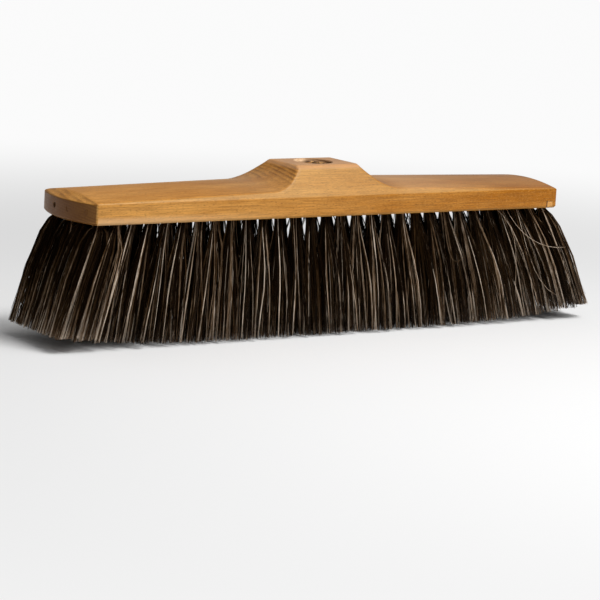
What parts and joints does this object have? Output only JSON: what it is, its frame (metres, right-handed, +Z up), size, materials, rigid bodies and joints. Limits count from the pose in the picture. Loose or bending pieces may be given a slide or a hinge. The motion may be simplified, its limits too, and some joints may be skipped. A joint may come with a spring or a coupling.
{
  "type": "push broom head",
  "caption": "Push broom head: one-piece wooden block with a raised hub, threaded handle socket and rows of fanned dark hair tufts.",
  "frame": {"origin": "on the floor, in the middle of the space that the bristle tips take up; the handle socket stands 7 mm to its left, because the hair has been swept to the right", "axes": "+X along the block, +Y across it away from the side shown in front, +Z up out of the handle socket"},
  "size_m": [0.4481, 0.0732, 0.1178],
  "materials": {
    "wood": "clear lacquered beech, satin",
    "hair": "natural dark hair, flat-trimmed",
    "wire": "plain drawn wire",
    "peg": "bare end grain, sanded flush"
  },
  "bodies": {
    "root": {"broom_block": "wood", "bristle_row_1": "hair", "bristle_row_2": "hair", "bristle_row_3": "hair", "bristle_row_4": "hair", "drawing_wire_1": "wire", "drawing_wire_2": "wire", "drawing_wire_3": "wire", "drawing_wire_4": "wire", "peg_left_1": "peg", "peg_left_2": "peg", "peg_left_3": "peg", "peg_left_4": "peg", "peg_right_1": "peg", "peg_right_2": "peg", "peg_right_3": "peg", "peg_right_4": "peg"}
  },
  "joints": []
}
